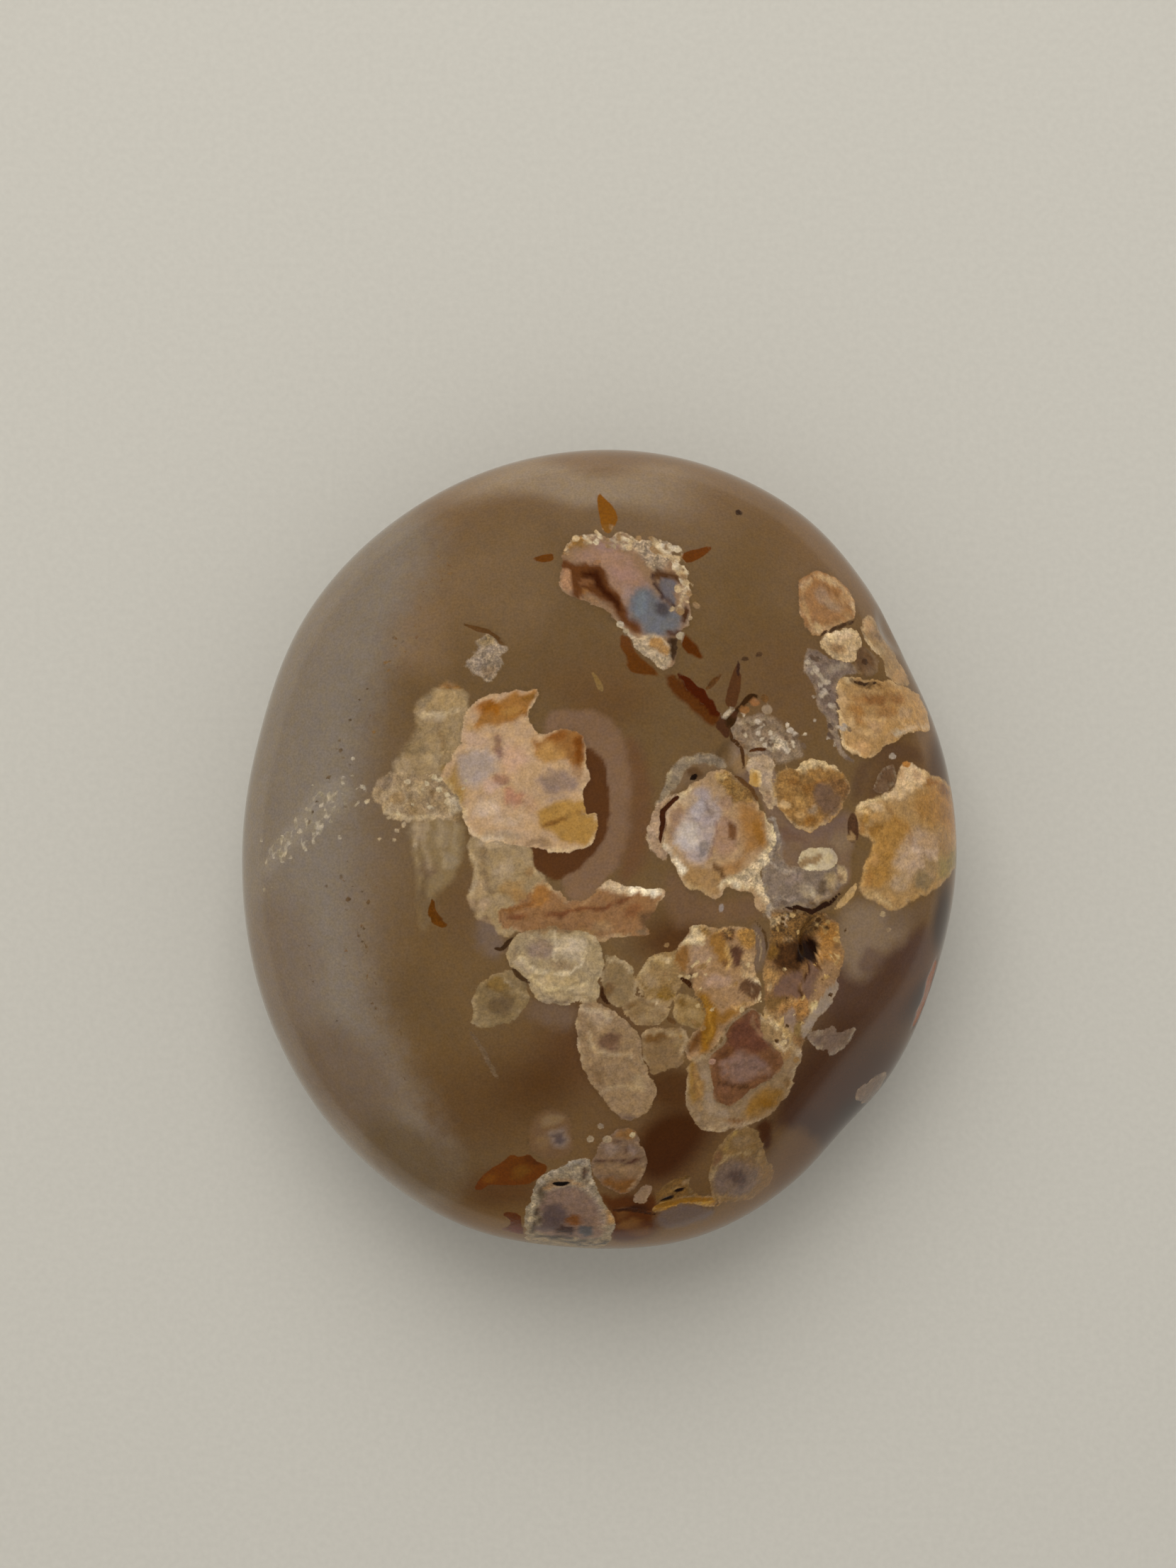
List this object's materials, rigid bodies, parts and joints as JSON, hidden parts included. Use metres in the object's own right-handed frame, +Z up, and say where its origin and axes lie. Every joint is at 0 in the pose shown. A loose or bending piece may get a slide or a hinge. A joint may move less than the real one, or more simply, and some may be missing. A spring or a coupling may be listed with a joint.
{
  "type": "palm stone",
  "caption": "Rounded, polished pebble of banded chalcedony with flower-like growths in it, sized to fill the palm, with a small flat spot underneath that it rests on.",
  "frame": {"origin": "middle of the stone's footprint, on the surface that it rests on", "axes": "+Z up out of the domed top, +Y along the stone's length, +X across it"},
  "size_m": [0.0554, 0.062, 0.0226],
  "materials": {
    "polished_chalcedony": "high polish"
  },
  "bodies": {
    "root": {"palm_stone": "polished_chalcedony"}
  },
  "joints": []
}
